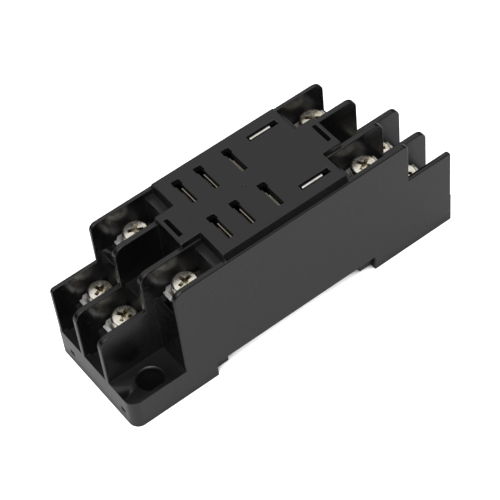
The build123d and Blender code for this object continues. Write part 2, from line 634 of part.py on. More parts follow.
# Each contact's strip in plan, its foot (place and whether it lies lengthwise), its riser,
# and the side on which a leaf stands tall in the slot
half_strip = STRIP_WIDE / 2
riser_half = STRIP / 2
back_lane = (COLUMN_Y - half_strip, COLUMN_Y + half_strip)
front_lane = (-COLUMN_Y - half_strip, -COLUMN_Y + half_strip)
middle_lane = (-half_strip, half_strip)
upper_lane = (UPPER_STRIP_Y - half_strip, UPPER_STRIP_Y + half_strip)
coil_lane = (COIL_SLOT_Y - half_strip, COIL_SLOT_Y + half_strip)
riser_b = (slot_b - riser_half, slot_b + riser_half)
riser_c = (slot_c - riser_half, slot_c + riser_half)
ROUTES = {
    1: (
        [
            (left_low, LEFT_LINK[1], *back_lane), (LEFT_LINK[0], riser_b[1], *BACK_RISER),
            (*LEFT_LINK, BACK_RISER[0], back_lane[1]),
        ],
        (slot_b, BACK_LEAF_Y, False), (*riser_b, *BACK_RISER), 1,
    ),
    2: (
        [(left_high, slot_a + FOOT_HALF, *upper_lane)],
        (slot_a, BACK_LEAF_Y, False), None, 1,
    ),
    3: (
        [
            (left_low, slot_b + STRIP, *middle_lane),
            (slot_b - CROSS_LANE, slot_b + STRIP, FRONT_RISER[0], half_strip),
        ],
        (slot_b, FRONT_LEAF_Y, False), (*riser_b, *FRONT_RISER), 1,
    ),
    4: (
        [(left_high, slot_a + FOOT_HALF, -upper_lane[1], -upper_lane[0])],
        (slot_a, FRONT_LEAF_Y, False), None, 1,
    ),
    5: (
        [(right_high, COIL_LEAF_X, *coil_lane)],
        (COIL_LEAF_X, COIL_SLOT_Y, True), None, 1,
    ),
    6: (
        [(right_high, COIL_LEAF_X, -coil_lane[1], -coil_lane[0])],
        (COIL_LEAF_X, -COIL_SLOT_Y, True), None, 1,
    ),
    7: (
        [
            (right_low, slot_c - STRIP, *middle_lane),
            (slot_c + CROSS_LANE, slot_c - STRIP, -half_strip, MIDDLE_RISER[1]),
        ],
        (slot_c, BACK_LEAF_Y, False), (*riser_c, *MIDDLE_RISER), -1,
    ),
    8: (
        [
            (right_low, RIGHT_LINK[0], *front_lane), (RIGHT_LINK[1], riser_c[0], *FRONT_RISER),
            (*RIGHT_LINK, front_lane[0], FRONT_RISER[1]),
        ],
        (slot_c, FRONT_LEAF_Y, False), (*riser_c, *FRONT_RISER), -1,
    ),
}

# The screws stopped at different turns when they were driven home
SCREW_ANGLES = {1: 20, 2: 62, 3: 35, 4: 12, 5: 50, 6: 28, 7: 74, 8: 40}

for number, (x, y, shelf) in TERMINALS.items():
    lanes, foot, riser, tall = ROUTES[number]
    clamp_z = shelf + STRIP + PLATE_GAP
    washer_z = clamp_z + CLAMP + PLATE_GAP
    outboard = -1 if x < 0 else 1
    angle = SCREW_ANGLES[number]
    make_contact(number, x, y, shelf, lanes, foot, riser, tall)
    make_clamp(number, x, y, clamp_z, outboard)
    make_washer(number, x, y, washer_z, angle + 100)
    make_screw(number, x, y, washer_z + WASHER, angle)

# The rail latch: a slider with a nose under the rail, a window for its spring and a driver slot
with BuildPart() as rail_latch:
    nose_wide_x = NOTCH_X + CHANNEL_WALL
    rise(TREAD_Z + LATCH_FIT, LATCH_Z, (nose_wide_x, HALF_LENGTH, -LATCH_Y, LATCH_Y))
    across(
        -TREAD_Y, TREAD_Y,
        (LATCH_NOSE_X + LATCH_LEAD, LATCH_FOOT), (HALF_LENGTH, LATCH_FOOT),
        (HALF_LENGTH, TREAD_Z + LATCH_ROOM),
        (nose_wide_x, TREAD_Z + LATCH_ROOM), (nose_wide_x, TREAD_Z), (LATCH_NOSE_X, TREAD_Z),
        (LATCH_NOSE_X, LATCH_FOOT + LATCH_LEAD),
    )
    rise(0, LATCH_Z, (*WINDOW_X, -WINDOW_Y, WINDOW_Y), mode=Mode.SUBTRACT)
    slot_x0, slot_x1, slot_y = DRIVER_SLOT
    rise(0, LATCH_Z, (slot_x0, slot_x1, -slot_y, slot_y), mode=Mode.SUBTRACT)
finish(rail_latch.part, "rail_latch")

# The latch's compression spring, wound as a helix between the slider and the stop
with BuildPart() as latch_spring:
    start_x, end_x = SPRING_X
    pitch = (end_x - start_x) / SPRING_TURNS
    with BuildLine() as coil:
        Helix(pitch, end_x - start_x, SPRING_R, center=(start_x, 0, SPRING_Z), direction=(1, 0, 0))
    with BuildSketch(Plane(origin=coil.line @ 0, z_dir=coil.line % 0)):
        Circle(SPRING_WIRE / 2)
    sweep()
finish(latch_spring.part, "latch_spring")
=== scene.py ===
# %% [markdown]
# # A relay socket for a 35 mm rail
#
# The real object is a block of black moulded plastic, 72 mm long, with eight screw terminals on
# four small decks, a raised seat with blade slots for the relay, and a latch under one end.
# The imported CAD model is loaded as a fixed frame. Every later cell either gives a CAD piece its
# finish or puts a more detailed piece in exactly the same place.

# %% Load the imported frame
from math import cos, pi, radians, sin

import bmesh
import bpy
from mathutils import Matrix, Vector


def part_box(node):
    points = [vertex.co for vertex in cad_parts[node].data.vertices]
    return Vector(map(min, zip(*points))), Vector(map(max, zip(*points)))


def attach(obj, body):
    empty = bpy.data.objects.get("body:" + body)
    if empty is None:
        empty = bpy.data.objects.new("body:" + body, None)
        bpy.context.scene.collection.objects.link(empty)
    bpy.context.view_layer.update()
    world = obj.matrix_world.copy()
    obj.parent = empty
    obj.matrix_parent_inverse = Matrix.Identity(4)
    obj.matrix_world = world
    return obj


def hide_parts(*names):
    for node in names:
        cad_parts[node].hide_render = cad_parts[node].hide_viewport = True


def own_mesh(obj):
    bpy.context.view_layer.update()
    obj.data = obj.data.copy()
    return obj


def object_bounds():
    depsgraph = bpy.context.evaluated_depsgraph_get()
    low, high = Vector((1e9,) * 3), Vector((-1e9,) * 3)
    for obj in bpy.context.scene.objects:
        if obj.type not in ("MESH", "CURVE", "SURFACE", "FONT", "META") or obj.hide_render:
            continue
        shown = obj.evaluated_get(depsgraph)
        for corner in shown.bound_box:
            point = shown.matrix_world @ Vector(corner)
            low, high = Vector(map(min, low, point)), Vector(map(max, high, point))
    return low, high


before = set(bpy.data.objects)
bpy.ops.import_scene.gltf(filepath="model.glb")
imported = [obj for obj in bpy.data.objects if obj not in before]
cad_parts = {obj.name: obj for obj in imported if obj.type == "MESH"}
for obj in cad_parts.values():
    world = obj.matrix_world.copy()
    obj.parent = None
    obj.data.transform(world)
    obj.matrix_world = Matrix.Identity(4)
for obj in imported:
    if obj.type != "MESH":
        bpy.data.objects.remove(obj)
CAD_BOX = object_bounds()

MM = 0.001
size = (CAD_BOX[1] - CAD_BOX[0]) / MM
print(f"frame: {len(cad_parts)} nodes, {size.x:.1f} x {size.y:.1f} x {size.z:.1f} mm")

# %% [markdown]
# ## The camera
#
# A product photograph of a small object is usually taken from some distance with a long lens, so
# that parallel edges stay nearly parallel. The camera could be aimed with a constraint, but three
# angles say the same thing exactly: how far it is turned from +Y, how far it looks down, and how
# much it rolls. Its three axes are worked out from those angles and put in a matrix.

# %% Place the camera
CAMERA_PLACE = Vector((-0.113382, -0.180445, 0.279928))
CAMERA_TURN = radians(31.804)
CAMERA_DOWN = radians(51.682)
CAMERA_ROLL = radians(-7.204)
CAMERA_LENS = 138.777
SENSOR = 36.0

level = cos(CAMERA_DOWN)
forward = Vector((sin(CAMERA_TURN) * level, cos(CAMERA_TURN) * level, -sin(CAMERA_DOWN)))
level_right = Vector((cos(CAMERA_TURN), -sin(CAMERA_TURN), 0))
level_up = level_right.cross(forward)
camera_right = level_right * cos(CAMERA_ROLL) + level_up * sin(CAMERA_ROLL)
camera_up = camera_right.cross(forward)

camera_data = bpy.data.cameras.new("camera")
camera_data.lens = CAMERA_LENS
camera_data.sensor_width = SENSOR
camera_data.sensor_fit = "HORIZONTAL"
camera_data.clip_start = 0.01
camera = bpy.data.objects.new("camera", camera_data)
bpy.context.scene.collection.objects.link(camera)
axes = Matrix((camera_right, camera_up, -forward)).transposed().to_4x4()
camera.matrix_world = Matrix.Translation(CAMERA_PLACE) @ axes
bpy.context.scene.camera = camera
bpy.context.scene.view_settings.view_transform = "Standard"
print(f"camera: {CAMERA_PLACE.length:.3f} m from the origin, {CAMERA_LENS:.0f} mm lens")

# %% [markdown]
# ## A helper for node trees
#
# Materials, the world and Geometry Nodes are all node trees. Written out in full, each node takes
# one line to make it, one for each value and one for each link. One small helper does all of it:
# an input is given either a value or another node's output, and then the two are linked.

# %% The node helper
def add_node(tree, kind, inputs=None, **settings):
    """One new node. Settings are its own options, and inputs are values or outputs to link."""
    made = tree.nodes.new(kind)
    for option, choice in settings.items():
        setattr(made, option, choice)
    for key, value in (inputs or {}).items():
        if isinstance(value, bpy.types.NodeSocket):
            tree.links.new(value, made.inputs[key])
        else:
            made.inputs[key].default_value = value
    return made


def calc(tree, operation, *values):
    """The output of one Math node."""
    return add_node(tree, "ShaderNodeMath", dict(enumerate(values)), operation=operation).outputs[0]


def grey(level):
    """A neutral colour."""
    return (level, level, level, 1)


def blend(tree, factor, first, second):
    """A mix of two colours: the first where the factor is 0, the second where it is 1."""
    return add_node(
        tree, "ShaderNodeMix", {"Factor": factor, 6: first, 7: second}, data_type="RGBA",
    ).outputs[2]


def spread(tree, value, start, stop, low=0.0, high=1.0):
    """Maps the span from start to stop onto the span from low to high."""
    ramp = add_node(
        tree, "ShaderNodeMapRange",
        {"Value": value, "From Min": start, "From Max": stop, "To Min": low, "To Max": high},
    )
    return ramp.outputs["Result"]


def new_material(name):
    """A material and its node tree, which is empty."""
    material = bpy.data.materials.new(name)
    material.use_nodes = True
    material.node_tree.nodes.clear()
    return material, material.node_tree


# %% [markdown]
# ## Studio light
#
# Black plastic shows mostly what it mirrors, so the light has to be right all round it. The photo
# has a white table and a broad soft light overhead, and a dark room beyond the table's edge: the
# sloping band along the seat is darker than the seat's top because it mirrors that dark room. The
# world is bright high up and dark near the horizon, and only camera rays see it white.

# %% World and lamp
SKY = 0.86
HORIZON = 0.05
SKY_EDGE = (0.36, 0.62)
LAMP_PLACE = Vector((-0.35, -0.45, 0.85))
LAMP_SIZE = 1.0
LAMP_POWER = 7.0

world = bpy.data.worlds.new("studio")
world.use_nodes = True
world.node_tree.nodes.clear()
room = world.node_tree
direction = add_node(room, "ShaderNodeTexCoord")
height = add_node(room, "ShaderNodeSeparateXYZ", {"Vector": direction.outputs["Generated"]})
glow = add_node(
    room, "ShaderNodeMapRange",
    {"Value": height.outputs["Z"], "From Min": SKY_EDGE[0], "From Max": SKY_EDGE[1],
     "To Min": HORIZON, "To Max": SKY},
    interpolation_type="SMOOTHSTEP",
)
path = add_node(room, "ShaderNodeLightPath")
strength = add_node(
    room, "ShaderNodeMix",
    {"Factor": path.outputs["Is Camera Ray"], "A": glow.outputs["Result"], "B": 1.0},
)
sky = add_node(
    room, "ShaderNodeBackground", {"Color": grey(1), "Strength": strength.outputs["Result"]},
)
add_node(room, "ShaderNodeOutputWorld", {"Surface": sky.outputs["Background"]})
bpy.context.scene.world = world

lamp_data = bpy.data.lights.new("softbox", "AREA")
lamp_data.shape = "DISK"
lamp_data.size = LAMP_SIZE
lamp_data.energy = LAMP_POWER
lamp = bpy.data.objects.new("softbox", lamp_data)
lamp.location = LAMP_PLACE
lamp.rotation_euler = (-LAMP_PLACE).to_track_quat("-Z", "Y").to_euler()
bpy.context.scene.collection.objects.link(lamp)
print(f"light: a sky of {SKY} above the horizon's {HORIZON}, and a {LAMP_SIZE} m softbox")

# %% [markdown]
# ## The table
#
# A white table is so bright that it blends with the background. A real white sheet would need
# strong light on the object to look that white. Instead the camera sees a glow added to the table's
# matt paint, while glossy and diffuse rays see the paint alone. Where the object hides the table,
# an Ambient Occlusion node darkens the paint and dims the glow: this is a painted shadow under the
# object, seen by the camera and in reflections.

# %% Table
TABLE_HALF = 0.17
TABLE_PAINT = 0.73
TABLE_PAINTED_SHADE = 0.12
TABLE_GLOW = 0.9
SHADE_REACH = 8 * MM
SHADE_SPAN = (0.18, 0.42)

table_mesh = bpy.data.meshes.new("table")
corners = [
    (x * TABLE_HALF, y * TABLE_HALF, 0) for x, y in ((-1, -1), (1, -1), (1, 1), (-1, 1))
]
table_mesh.from_pydata(corners, [], [(0, 1, 2, 3)])
table = bpy.data.objects.new("table", table_mesh)
bpy.context.scene.collection.objects.link(table)

table_paint, tree = new_material("table_paint")
path = add_node(tree, "ShaderNodeLightPath")
# Painted shadow: where the object hides the table, the paint is darkened towards a painted shade
# colour and the camera's glow is dimmed.
shade = add_node(tree, "ShaderNodeAmbientOcclusion", {"Distance": SHADE_REACH}, samples=16)
unshaded = spread(tree, shade.outputs["AO"], *SHADE_SPAN)
shaded_paint = blend(tree, unshaded, grey(TABLE_PAINTED_SHADE), grey(TABLE_PAINT))
paint = add_node(tree, "ShaderNodeBsdfDiffuse", {"Color": shaded_paint})
shaded_glow = calc(tree, "MULTIPLY", path.outputs["Is Camera Ray"], unshaded)
glow = add_node(tree, "ShaderNodeEmission", {"Color": grey(TABLE_GLOW), "Strength": shaded_glow})
both = add_node(tree, "ShaderNodeAddShader", {0: paint.outputs[0], 1: glow.outputs[0]})
add_node(tree, "ShaderNodeOutputMaterial", {"Surface": both.outputs[0]})
table_mesh.materials.append(table_paint)
print("table: matt white, with a glow for the camera only")

# %% [markdown]
# ## Shared surface effects
#
# Three effects turn up on several materials, so each is a node group with its own named inputs.
# Moulded plastic has a very fine spark-eroded grain and broad, faint cloudiness. Handled edges are
# polished a little lighter. Plated metal has fine marks and a few dull stains, and a mask of
# painted shade for its recesses and deep places. The groups give out only masks, values and
# normals; the shader itself stays in each material.

# %% Helpers for the shared effects
def new_group(name, inputs, outputs):
    """An empty shader node group with named inputs and outputs."""
    group = bpy.data.node_groups.new(name, "ShaderNodeTree")
    for label, default in inputs.items():
        socket = group.interface.new_socket(label, in_out="INPUT", socket_type="NodeSocketFloat")
        socket.default_value = default
    for label, kind in outputs.items():
        group.interface.new_socket(label, in_out="OUTPUT", socket_type=kind)
    return group, group.nodes.new("NodeGroupInput").outputs, group.nodes.new("NodeGroupOutput")


def link_outputs(group, end, **sources):
    """Links each named output of a group to its source. An underscore stands for a space."""
    for label, source in sources.items():
        group.links.new(source, end.inputs[label.replace("_", " ")])


def noise(group, spot, scale, detail):
    """Cloudy noise from 0 to 1, at this scale and with this many octaves of detail."""
    texture = add_node(
        group, "ShaderNodeTexNoise", {"Vector": spot, "Scale": scale, "Detail": detail},
    )
    return texture.outputs["Fac"]


def openness(group, reach):
    """How open a place is: 1 in the open and 0 deep inside, felt out as far as the reach."""
    felt = add_node(group, "ShaderNodeAmbientOcclusion", {"Distance": reach}, samples=8)
    return felt.outputs["AO"]


# %% Moulded grain
POCKET_SPAN = (0.35, 0.85)

grain, given, end = new_group(
    "moulded_grain",
    {"Grain size": 0.12 * MM, "Grain depth": 0.004 * MM, "Cloud size": 6 * MM,
     "Pocket reach": 5 * MM},
    {"Normal": "NodeSocketVector", "Clouds": "NodeSocketFloat", "Pockets": "NodeSocketFloat"},
)
spot = add_node(grain, "ShaderNodeTexCoord").outputs["Object"]
fine_scale = calc(grain, "DIVIDE", 1.0, given["Grain size"])
cloud_scale = calc(grain, "DIVIDE", 1.0, given["Cloud size"])
fine = noise(grain, spot, fine_scale, 2.0)
clouds = noise(grain, spot, cloud_scale, 4.0)
bump = add_node(grain, "ShaderNodeBump", {"Height": fine, "Distance": given["Grain depth"]})
pockets = spread(grain, openness(grain, given["Pocket reach"]), *POCKET_SPAN, 1.0, 0.0)
link_outputs(grain, end, Normal=bump.outputs["Normal"], Clouds=clouds, Pockets=pockets)
print("group: moulded_grain")

# %% Worn edges
EDGE_SPAN = (0.995, 0.86)
PATCH_SIZE = 1.6 * MM
PATCH_SPAN = (0.35, 0.65)

wear, given, end = new_group(
    "worn_edges",
    {"Edge width": 0.25 * MM, "Patchiness": 0.5},
    {"Wear": "NodeSocketFloat"},
)
rounded = add_node(wear, "ShaderNodeBevel", {"Radius": given["Edge width"]}, samples=6)
surface = add_node(wear, "ShaderNodeNewGeometry")
agree = add_node(
    wear, "ShaderNodeVectorMath", {0: rounded.outputs[0], 1: surface.outputs["Normal"]},
    operation="DOT_PRODUCT",
)
edge = spread(wear, agree.outputs["Value"], *EDGE_SPAN)
spot = add_node(wear, "ShaderNodeTexCoord").outputs["Object"]
patch_share = spread(wear, noise(wear, spot, 1 / PATCH_SIZE, 5.0), *PATCH_SPAN)
kept = add_node(wear, "ShaderNodeMix", {"Factor": given["Patchiness"], "A": 1.0, "B": patch_share})
worn = calc(wear, "MULTIPLY", edge, kept.outputs["Result"])
link_outputs(wear, end, Wear=worn)
print("group: worn_edges")

# %% Plated metal's marks
STAIN_SPAN = (0.5, 0.68)
CREVICE_SPAN = (0.3, 0.8)

plating, given, end = new_group(
    "plating_marks_and_shade",
    {"Mark size": 0.2 * MM, "Mark depth": 0.003 * MM, "Stain size": 1.8 * MM,
     "Crevice reach": 0.7 * MM, "Shade below": -1.0, "Shade strength": 0.85},
    {"Normal": "NodeSocketVector", "Marks": "NodeSocketFloat", "Stains": "NodeSocketFloat",
     "Crevices": "NodeSocketFloat"},
)
spot = add_node(plating, "ShaderNodeTexCoord").outputs["Object"]
mark_scale = calc(plating, "DIVIDE", 1.0, given["Mark size"])
stain_scale = calc(plating, "DIVIDE", 1.0, given["Stain size"])
marks = noise(plating, spot, mark_scale, 3.0)
stains = spread(plating, noise(plating, spot, stain_scale, 5.0), *STAIN_SPAN)
bump = add_node(plating, "ShaderNodeBump", {"Height": marks, "Distance": given["Mark depth"]})
# Painted shade: an Ambient Occlusion node marks recesses and narrow places, to be darkened.
crevices = spread(plating, openness(plating, given["Crevice reach"]), *CREVICE_SPAN, 1.0, 0.0)
# Painted shade: everything below the given height is marked as well, for the shade deep in the
# slots.
level = add_node(plating, "ShaderNodeSeparateXYZ", {0: spot}).outputs["Z"]
below = calc(plating, "LESS_THAN", level, given["Shade below"])
deep_shade = calc(plating, "MULTIPLY", below, given["Shade strength"])
painted_shade = calc(plating, "MAXIMUM", crevices, deep_shade)
link_outputs(
    plating, end, Normal=bump.outputs["Normal"], Marks=marks, Stains=stains, Crevices=painted_shade,
)
print("group: plating_marks_and_shade")

# %% [markdown]
# ## Black moulded plastic
#
# The housing is phenolic or polyamide, coloured right through. Its own colour is nearly black and
# very even; what makes it look grey in places is the clear-edged mirror image of table and
# ceiling, which is why its roughness is low. The pockets are less polished than the outside, so
# the screws are mirrored in their walls only as a faint haze. The base and the latch are another
# moulding each, with a slightly different shade and polish.

# %% Plastic finishes
POCKET_ROUGHNESS = 0.55
NOISE_SPAN = (0.3, 0.7)
CLOUD_SHADES = (0.8, 1.2)
CLOUD_POLISH = (0.85, 1.15)


def plastic(name, shade, worn_shade, roughness, grain_depth):
    """Black moulded plastic with a fine grain, faint clouds and lighter worn edges."""
    material, tree = new_material(name)
    texture = add_node(tree, "ShaderNodeGroup", node_tree=grain)
    texture.inputs["Grain depth"].default_value = grain_depth
    edges = add_node(tree, "ShaderNodeGroup", node_tree=wear)
    darkest, lightest = [(*[part * share for part in shade], 1) for share in CLOUD_SHADES]
    cloudy = blend(tree, texture.outputs["Clouds"], darkest, lightest)
    colour = blend(tree, edges.outputs["Wear"], cloudy, (*worn_shade, 1))
    low, high = [roughness * share for share in CLOUD_POLISH]
    polish = spread(tree, texture.outputs["Clouds"], *NOISE_SPAN, low, high)
    matt = add_node(
        tree, "ShaderNodeMix",
        {"Factor": texture.outputs["Pockets"], "A": polish, "B": POCKET_ROUGHNESS},
    )
    shader = add_node(
        tree, "ShaderNodeBsdfPrincipled",
        {"Base Color": colour, "Roughness": matt.outputs["Result"],
         "Normal": texture.outputs["Normal"], "IOR": 1.5},
    )
    add_node(tree, "ShaderNodeOutputMaterial", {"Surface": shader.outputs[0]})
    return material


HOUSING = plastic(
    "housing_plastic", (0.0035, 0.0035, 0.0037), (0.026, 0.026, 0.027), 0.25, 0.002 * MM,
)
BASE = plastic("base_plastic", (0.0033, 0.0033, 0.0035), (0.024, 0.024, 0.025), 0.32, 0.003 * MM)
LATCH = plastic("latch_plastic", (0.006, 0.006, 0.0062), (0.03, 0.03, 0.031), 0.25, 0.002 * MM)
print("plastics:", HOUSING.name, BASE.name, LATCH.name)

# %% [markdown]
# ## Plated metal
#
# Screws and washers are steel with a nickel plating, which is a warm light grey. The clamp plates
# are zinc plated, which is paler and more satin, and the contacts are brass with a thin tin coat.
# All are full metals: the colour tints what they mirror, and a fine unevenness of the surface
# breaks the mirror image up. Their recesses and narrow places get painted shade, with their colour
# mixed towards a dark olive. Only the two coil contacts reach the top of the seat. The contact
# metal below that height gets the same painted shade, for the shade deep in the slots.

# %% Metal finishes
PAINTED_SHADE_COLOUR = (0.26, 0.235, 0.175)
# Painted shade: contact metal below this height is mixed towards the dark shade colour.
SLOT_SHADE_TOP = 29.2 * MM
MARK_POLISH = (0.7, 1.3)


def plated(name, colour, stained, roughness, mark_size, mark_depth, shade_below=-1.0):
    """Plated metal with fine marks, a few dull stains, and painted shade in recesses and below a
    given height.
    """
    material, tree = new_material(name)
    surface = add_node(tree, "ShaderNodeGroup", node_tree=plating)
    surface.inputs["Mark size"].default_value = mark_size
    surface.inputs["Mark depth"].default_value = mark_depth
    surface.inputs["Shade below"].default_value = shade_below
    mixed = blend(tree, surface.outputs["Stains"], (*colour, 1), (*stained, 1))
    # Painted shade: the colour is mixed towards a dark olive in recesses and below the given
    # height.
    painted_shade = blend(tree, surface.outputs["Crevices"], mixed, (*PAINTED_SHADE_COLOUR, 1))
    low, high = [roughness * share for share in MARK_POLISH]
    dulled = spread(tree, surface.outputs["Marks"], *NOISE_SPAN, low, high)
    shader = add_node(
        tree, "ShaderNodeBsdfPrincipled",
        {"Base Color": painted_shade, "Metallic": 1.0, "Roughness": dulled,
         "Normal": surface.outputs["Normal"]},
    )
    add_node(tree, "ShaderNodeOutputMaterial", {"Surface": shader.outputs[0]})
    return material


SCREW = plated("screw_nickel", (0.88, 0.84, 0.74), (0.56, 0.5, 0.37), 0.24, 0.5 * MM, 0.004 * MM)
CLAMP = plated("clamp_zinc", (0.93, 0.92, 0.9), (0.8, 0.78, 0.73), 0.42, 0.5 * MM, 0.002 * MM)
WASHER = plated("washer_steel", (0.7, 0.69, 0.67), (0.48, 0.45, 0.4), 0.28, 0.3 * MM, 0.003 * MM)
CONTACT = plated(
    "contact_tinned_brass", (0.82, 0.81, 0.77), (0.66, 0.61, 0.5), 0.26, 0.5 * MM, 0.002 * MM,
    SLOT_SHADE_TOP,
)
SPRING = plated("spring_wire", (0.62, 0.62, 0.61), (0.42, 0.4, 0.37), 0.24, 0.2 * MM, 0.002 * MM)
print("metals:", SCREW.name, CLAMP.name, WASHER.name, CONTACT.name, SPRING.name)

# %% [markdown]
# ## A finish for every CAD piece
#
# Each CAD piece came with a named slot, such as housing or screw, and the slot's name picks the
# finish. The pieces that are replaced further down get theirs here as well.

# %% Every CAD node gets its finish
FINISHES = {
    "housing": HOUSING, "base": BASE, "latch": LATCH, "contact": CONTACT,
    "clamp": CLAMP, "washer": WASHER, "screw": SCREW, "spring": SPRING,
}
for cad_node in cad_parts.values():
    for slot in cad_node.material_slots:
        slot.material = FINISHES[slot.material.name]
print(f"finishes: {len(FINISHES)} on {len(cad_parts)} nodes")

# %% [markdown]
# ## Rounded edges
#
# No moulded or stamped edge is truly sharp, and the thin line of light along each edge is what
# tells the eye how big and how hard a thing is. The CAD edges are mostly sharp. A copy of the
# mesh has its loose triangles joined and its flat faces made whole, and then a Bevel modifier
# rounds every outside edge that turns by more than a set angle. Inside corners stay sharp: they
# are dark lines in the photo. An edge that runs into a very thin corner of a face is left alone
# too, because there the rounding would shoot out in a spike.

# %% Rounded copies of the CAD pieces
JOIN = 0.002 * MM
FLAT = radians(0.6)
SHARP = radians(38)
THIN = radians(20)
ROUND_STEPS = 2
FAVOUR_LARGE = 90


def can_round(edge):
    """True for an outside edge that turns sharply and ends in no very thin corner."""
    corners = [corner for loop in edge.link_loops for corner in (loop, loop.link_loop_next)]
    return edge.is_convex and min(corner.calc_angle() for corner in corners) > THIN


def rounded_copy(node, radius):
    """A piece that stands for a CAD node, with its edges rounded."""
    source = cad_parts[node]
    mesh = source.data.copy()
    shape = bmesh.new()
    shape.from_mesh(mesh)
    bmesh.ops.remove_doubles(shape, verts=shape.verts, dist=JOIN)
    bmesh.ops.dissolve_limit(shape, angle_limit=FLAT, verts=shape.verts, edges=shape.edges)
    for face in shape.faces:
        face.smooth = True
    weight = shape.edges.layers.float.new("bevel_weight_edge")
    for edge in shape.edges:
        if edge.calc_face_angle(0) > SHARP:
            edge.smooth = can_round(edge)
            edge[weight] = float(edge.smooth)
    shape.to_mesh(mesh)
    shape.free()
    piece = bpy.data.objects.new(f"{node}_rounded", mesh)
    bpy.context.scene.collection.objects.link(piece)
    bevel = piece.modifiers.new("rounding", "BEVEL")
    bevel.width = radius
    bevel.segments = ROUND_STEPS
    bevel.limit_method = "WEIGHT"
    bevel.use_clamp_overlap = False
    bevel.loop_slide = False
    bevel.miter_outer = "MITER_ARC"
    flatten = piece.modifiers.new("flat_faces", "WEIGHTED_NORMAL")
    flatten.mode = "FACE_AREA"
    flatten.weight = FAVOUR_LARGE
    flatten.keep_sharp = True
    evaluated = piece.evaluated_get(bpy.context.evaluated_depsgraph_get())
    piece_mesh = bpy.data.meshes.new_from_object(evaluated)
    piece.modifiers.clear()
    piece.data = piece_mesh
    piece_mesh.name = piece.name
    return piece


def stand_for(piece, node, body):
    """Says which body a piece rides, and hides the CAD node that it replaces."""
    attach(piece, body)
    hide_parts(node)


ROUNDED = {
    "body": ("root", "housing", 0.1), "base": ("root", "base", 0.06),
    "rail_latch": ("latch", "latch", 0.1),
}
for n in range(1, 9):
    ROUNDED[f"contact_{n}"] = ("root", "contact", 0.05)
for node, (body, slot, radius) in ROUNDED.items():
    piece = rounded_copy(node, radius * MM)
    stand_for(piece, node, body)
    print(f"{piece.name}: {len(piece.data.polygons)} faces")

# %% [markdown]
# ## Growing parts with Geometry Nodes
#
# Screws, spring washers, clamp plates and the latch spring are all made by a rule, so each is a
# node group with named sizes. The groups work in millimetres, which keeps the numbers easy to
# read, and the last steps scale the result down to metres and put it in its place. An object
# holds the modifier only for as long as it takes to read the finished mesh.

# %% Geometry Nodes helpers
CREASE = radians(35)
WELD = 0.0005


def new_geometry_group(name, inputs):
    """An empty Geometry Nodes group with named inputs and one mesh coming out."""
    group = bpy.data.node_groups.new(name, "GeometryNodeTree")
    kinds = {int: "NodeSocketInt", float: "NodeSocketFloat", tuple: "NodeSocketVector"}
    for label, default in inputs.items():
        kind = kinds[type(default)]
        socket = group.interface.new_socket(label, in_out="INPUT", socket_type=kind)
        socket.default_value = default
    group.interface.new_socket("Geometry", in_out="OUTPUT", socket_type="NodeSocketGeometry")
    return group, group.nodes.new("NodeGroupInput").outputs, group.nodes.new("NodeGroupOutput")


def point(tree, **parts):
    """A vector put together from numbers, given by X, Y and Z."""
    return add_node(tree, "ShaderNodeCombineXYZ", parts).outputs[0]


def settle(group, end, given, geometry, material):
    """Ends a group: the shape is scaled, turned and placed, made real, creased and painted."""
    placed = add_node(
        group, "GeometryNodeTransform",
        {"Geometry": geometry, "Translation": given["Place"],
         "Rotation": point(group, Z=given["Turn"]), "Scale": (MM, MM, MM)},
    )
    real = add_node(group, "GeometryNodeRealizeInstances", {"Geometry": placed.outputs[0]})
    smooth = add_node(
        group, "GeometryNodeSetShadeSmooth", {0: real.outputs[0], "Shade Smooth": True},
        domain="FACE",
    )
    angle = add_node(group, "GeometryNodeInputMeshEdgeAngle")
    sharp = calc(group, "GREATER_THAN", angle.outputs["Unsigned Angle"], CREASE)
    creased = add_node(
        group, "GeometryNodeSetShadeSmooth",
        {0: smooth.outputs[0], "Selection": sharp, "Shade Smooth": False},
        domain="EDGE",
    )
    painted = add_node(
        group, "GeometryNodeSetMaterial", {"Geometry": creased.outputs[0], "Material": material},
    )
    group.links.new(painted.outputs[0], end.inputs["Geometry"])


def grow(name, group, **values):
    """Runs a group with these values and keeps the mesh. An underscore stands for a space."""
    piece = bpy.data.objects.new(name, bpy.data.meshes.new(name))
    bpy.context.scene.collection.objects.link(piece)
    modifier = piece.modifiers.new("shape", "NODES")
    modifier.node_group = group
    sockets = {
        item.name: item.identifier for item in group.interface.items_tree
        if item.in_out == "INPUT"
    }
    for label, value in values.items():
        modifier[sockets[label.replace("_", " ")]] = value
    evaluated = piece.evaluated_get(bpy.context.evaluated_depsgraph_get())
    mesh = bpy.data.meshes.new_from_object(evaluated)
    piece.modifiers.clear()
    piece.data = mesh
    mesh.name = name
    return piece


# %% [markdown]
# ## Pan-head screws
#
# A screw is a lathe shape: a flat grid whose columns go round the axis while its rows run from the
# point to the top of the head. Two Float Curves say how far out and how high each row is. A thread
# is the same grid again, pulled in along a line that climbs by one pitch for each turn. The cross
# recess is cut with a Mesh Boolean, by two tapered blades set a quarter turn apart on two points.

# %% The screw's node group
HEAD_R = 2.45
HEAD_TOP = 1.86
RIM_TOP = 1.2
SHOULDER = 0.6
HEAD_FOOT = 0.12
SHANK_R = 1.47
SHANK = 8.0
TIP_R = 0.97
TIP = 0.5
ROWS = 160
COLUMNS = 40
THREAD_STARTS = (-SHANK + 0.3, -SHANK + 0.9)
THREAD_STOPS = (-0.7, -0.3)
BLADE_TAPER = 0.62
BLADE_OVER = 0.05

